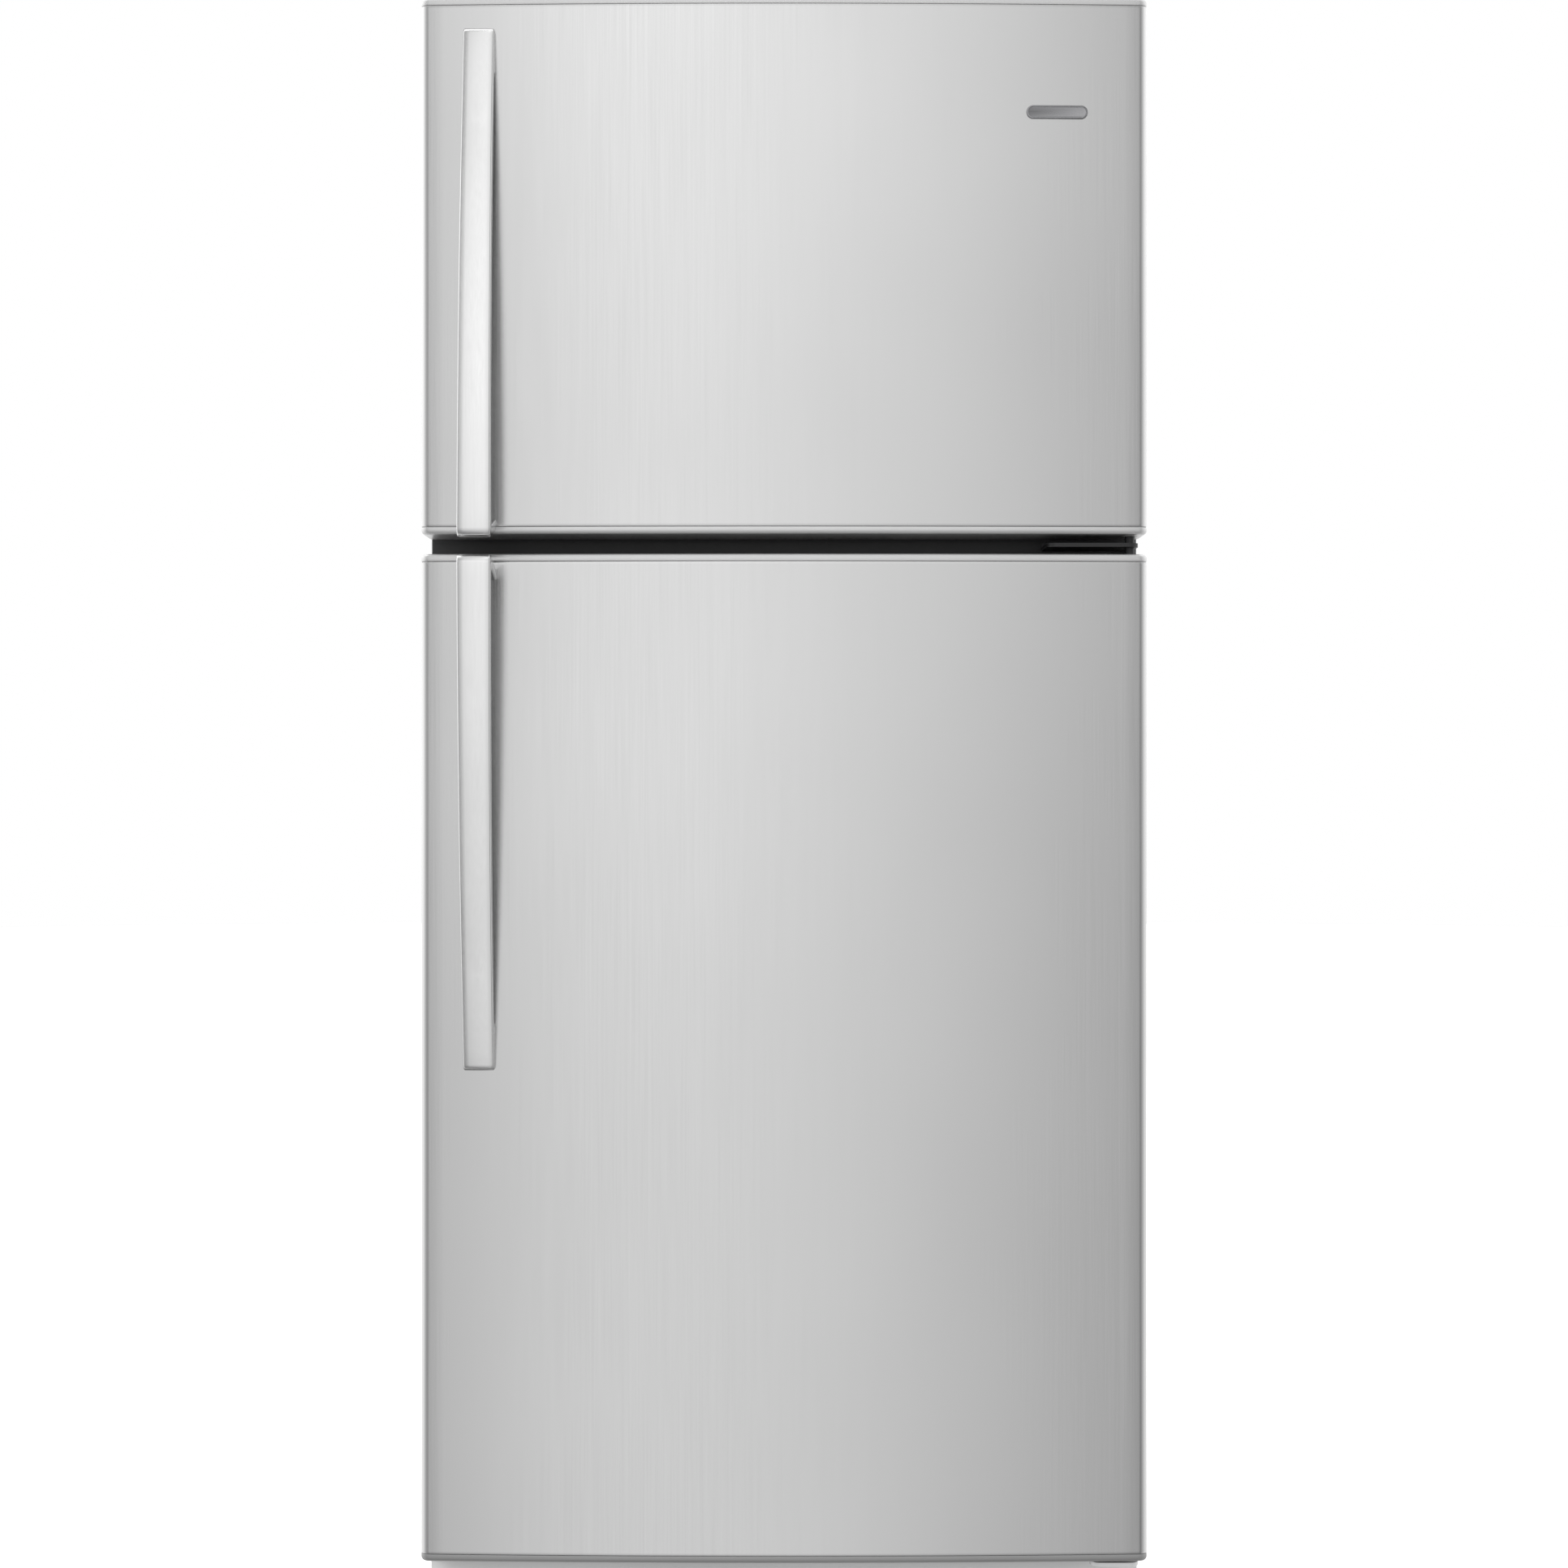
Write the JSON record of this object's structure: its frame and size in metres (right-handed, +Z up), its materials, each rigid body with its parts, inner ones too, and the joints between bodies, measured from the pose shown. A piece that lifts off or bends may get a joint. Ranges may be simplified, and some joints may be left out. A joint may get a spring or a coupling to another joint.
{
  "type": "top freezer refrigerator",
  "caption": "Upright two-door refrigerator with the freezer above, stainless doors with bow handles, grey cabinet, shelves, drawers, bins and rear machine compartment.",
  "frame": {"origin": "on the floor under the middle of the whole object's width and depth", "axes": "+X to the right seen from the front, +Y to the rear, +Z up"},
  "size_m": [0.756, 0.845, 1.683],
  "materials": {
    "stainless_door": "satin",
    "handle_steel": "satin",
    "grey_end_cap": "satin",
    "cabinet_paint": "satin",
    "galvanised_steel": "matte",
    "foam": "matte",
    "white_liner": "satin",
    "black_plastic": "matte",
    "grille_grey": "matte",
    "hinge_steel": "satin",
    "bushing_plastic": "satin",
    "gasket_grey": "matte",
    "clear_plastic": "gloss",
    "lens_plastic": "satin",
    "shelf_glass": "polished",
    "white_plastic": "satin",
    "knob_plastic": "satin",
    "wire_coating": "gloss",
    "compressor_black": "satin",
    "coil_black": "satin",
    "aluminium_fin": "satin",
    "motor_steel": "satin",
    "fan_plastic": "satin",
    "rubber_black": "matte",
    "cover_board": "matte",
    "nameplate_metal": "polished",
    "roller_plastic": "satin",
    "foot_plastic": "matte"
  },
  "bodies": {
    "cabinet": {"outer_wrapper": "cabinet_paint", "rear_panel": "galvanised_steel", "cabinet_insulation": "foam", "freezer_liner": "white_liner", "fresh_food_liner": "white_liner", "mullion_rail": "black_plastic", "base_grille": "grille_grey", "base_frame": "galvanised_steel", "top_hinge": "hinge_steel", "centre_hinge": "hinge_steel", "bottom_hinge": "hinge_steel", "top_hinge_cover": "grey_end_cap", "compressor": "compressor_black", "compressor_grommets": "rubber_black", "condenser_coil": "coil_black", "condenser_fan_motor": "motor_steel", "drain_pan": "black_plastic", "machine_cover": "cover_board", "cord_gland": "rubber_black", "evaporator_coil": "aluminium_fin", "evaporator_fan_motor": "motor_steel", "evaporator_cover": "white_plastic", "freezer_shelf": "wire_coating", "control_housing": "white_plastic", "lamp_lens": "lens_plastic", "air_duct": "white_plastic", "light_switch": "white_plastic", "shelf_glass": "shelf_glass", "shelf_frames": "white_plastic"},
    "freezer_door": {"freezer_door_skin": "stainless_door", "freezer_door_foam": "foam", "freezer_door_end_caps": "grey_end_cap", "freezer_door_bushings": "bushing_plastic", "freezer_door_liner": "white_liner", "freezer_door_gasket": "gasket_grey", "freezer_door_handle": "handle_steel", "freezer_door_bins": "clear_plastic", "nameplate": "nameplate_metal"},
    "fridge_door": {"fridge_door_skin": "stainless_door", "fridge_door_foam": "foam", "fridge_door_end_caps": "grey_end_cap", "fridge_door_bushings": "bushing_plastic", "fridge_door_liner": "white_liner", "fridge_door_gasket": "gasket_grey", "fridge_door_handle": "handle_steel", "fridge_door_bins": "clear_plastic"},
    "dairy_lid": {"dairy_lid": "clear_plastic"},
    "crisper_left": {"crisper_left": "clear_plastic"},
    "crisper_right": {"crisper_right": "clear_plastic"},
    "humidity_slide_left": {"humidity_slide_left": "knob_plastic"},
    "humidity_slide_right": {"humidity_slide_right": "knob_plastic"},
    "freezer_knob": {"freezer_knob": "knob_plastic"},
    "fridge_knob": {"fridge_knob": "knob_plastic"},
    "light_switch_plunger": {"light_switch_plunger": "white_plastic"},
    "condenser_fan": {"condenser_fan": "fan_plastic"},
    "evaporator_fan": {"evaporator_fan": "fan_plastic"},
    "leveling_leg_left": {"leveling_leg_left": "foot_plastic"},
    "leveling_leg_right": {"leveling_leg_right": "foot_plastic"},
    "rear_roller_left": {"rear_roller_left": "roller_plastic"},
    "rear_roller_right": {"rear_roller_right": "roller_plastic"}
  },
  "joints": [
    {"name": "freezer_door_hinge", "type": "hinge", "parent": "cabinet", "child": "freezer_door", "pos_m": [0.362, -0.3375, 1.392], "axis": [0, 0, 1], "range_deg": [0, 130]},
    {"name": "fridge_door_hinge", "type": "hinge", "parent": "cabinet", "child": "fridge_door", "pos_m": [0.362, -0.3375, 0.569], "axis": [0, 0, 1], "range_deg": [0, 130]},
    {"name": "dairy_lid_hinge", "type": "hinge", "parent": "fridge_door", "child": "dairy_lid", "pos_m": [-0.1325, -0.2115, 0.972], "axis": [1, 0, 0], "range_deg": [0, 110]},
    {"name": "crisper_left_slide", "type": "slide", "parent": "cabinet", "child": "crisper_left", "axis": [0, -1, 0], "range_m": [0, 0.03]},
    {"name": "crisper_right_slide", "type": "slide", "parent": "cabinet", "child": "crisper_right", "axis": [0, -1, 0], "range_m": [0, 0.03]},
    {"name": "humidity_left_slide", "type": "slide", "parent": "cabinet", "child": "humidity_slide_left", "axis": [1, 0, 0], "range_m": [-0.015, 0.015]},
    {"name": "humidity_right_slide", "type": "slide", "parent": "cabinet", "child": "humidity_slide_right", "axis": [1, 0, 0], "range_m": [-0.015, 0.015]},
    {"name": "freezer_knob_turn", "type": "hinge", "parent": "cabinet", "child": "freezer_knob", "pos_m": [-0.07, -0.17, 1.052], "axis": [0, -1, 0], "range_deg": [-140, 140]},
    {"name": "fridge_knob_turn", "type": "hinge", "parent": "cabinet", "child": "fridge_knob", "pos_m": [0.07, -0.17, 1.052], "axis": [0, -1, 0], "range_deg": [-140, 140]},
    {"name": "light_switch_press", "type": "slide", "parent": "cabinet", "child": "light_switch_plunger", "axis": [0, -1, 0], "range_m": [0, 0.006]},
    {"name": "condenser_fan_spin", "type": "hinge", "parent": "cabinet", "child": "condenser_fan", "pos_m": [-0.059, 0.292, 0.14], "axis": [1, 0, 0], "continuous": true},
    {"name": "evaporator_fan_spin", "type": "hinge", "parent": "cabinet", "child": "evaporator_fan", "pos_m": [0, 0.319, 1.5], "axis": [0, -1, 0], "continuous": true},
    {"name": "leveling_leg_left_turn", "type": "hinge", "parent": "cabinet", "child": "leveling_leg_left", "pos_m": [-0.325, -0.245, 0.02], "axis": [0, 0, 1], "continuous": true},
    {"name": "leveling_leg_right_turn", "type": "hinge", "parent": "cabinet", "child": "leveling_leg_right", "pos_m": [0.325, -0.245, 0.02], "axis": [0, 0, 1], "continuous": true},
    {"name": "rear_roller_left_spin", "type": "hinge", "parent": "cabinet", "child": "rear_roller_left", "pos_m": [-0.335, 0.385, 0.012], "axis": [1, 0, 0], "continuous": true},
    {"name": "rear_roller_right_spin", "type": "hinge", "parent": "cabinet", "child": "rear_roller_right", "pos_m": [0.335, 0.385, 0.012], "axis": [1, 0, 0], "continuous": true}
  ],
  "couplings": [
    {"joint": "light_switch_press", "follows": "fridge_door_hinge", "m_per_rad": 0.00264}
  ]
}
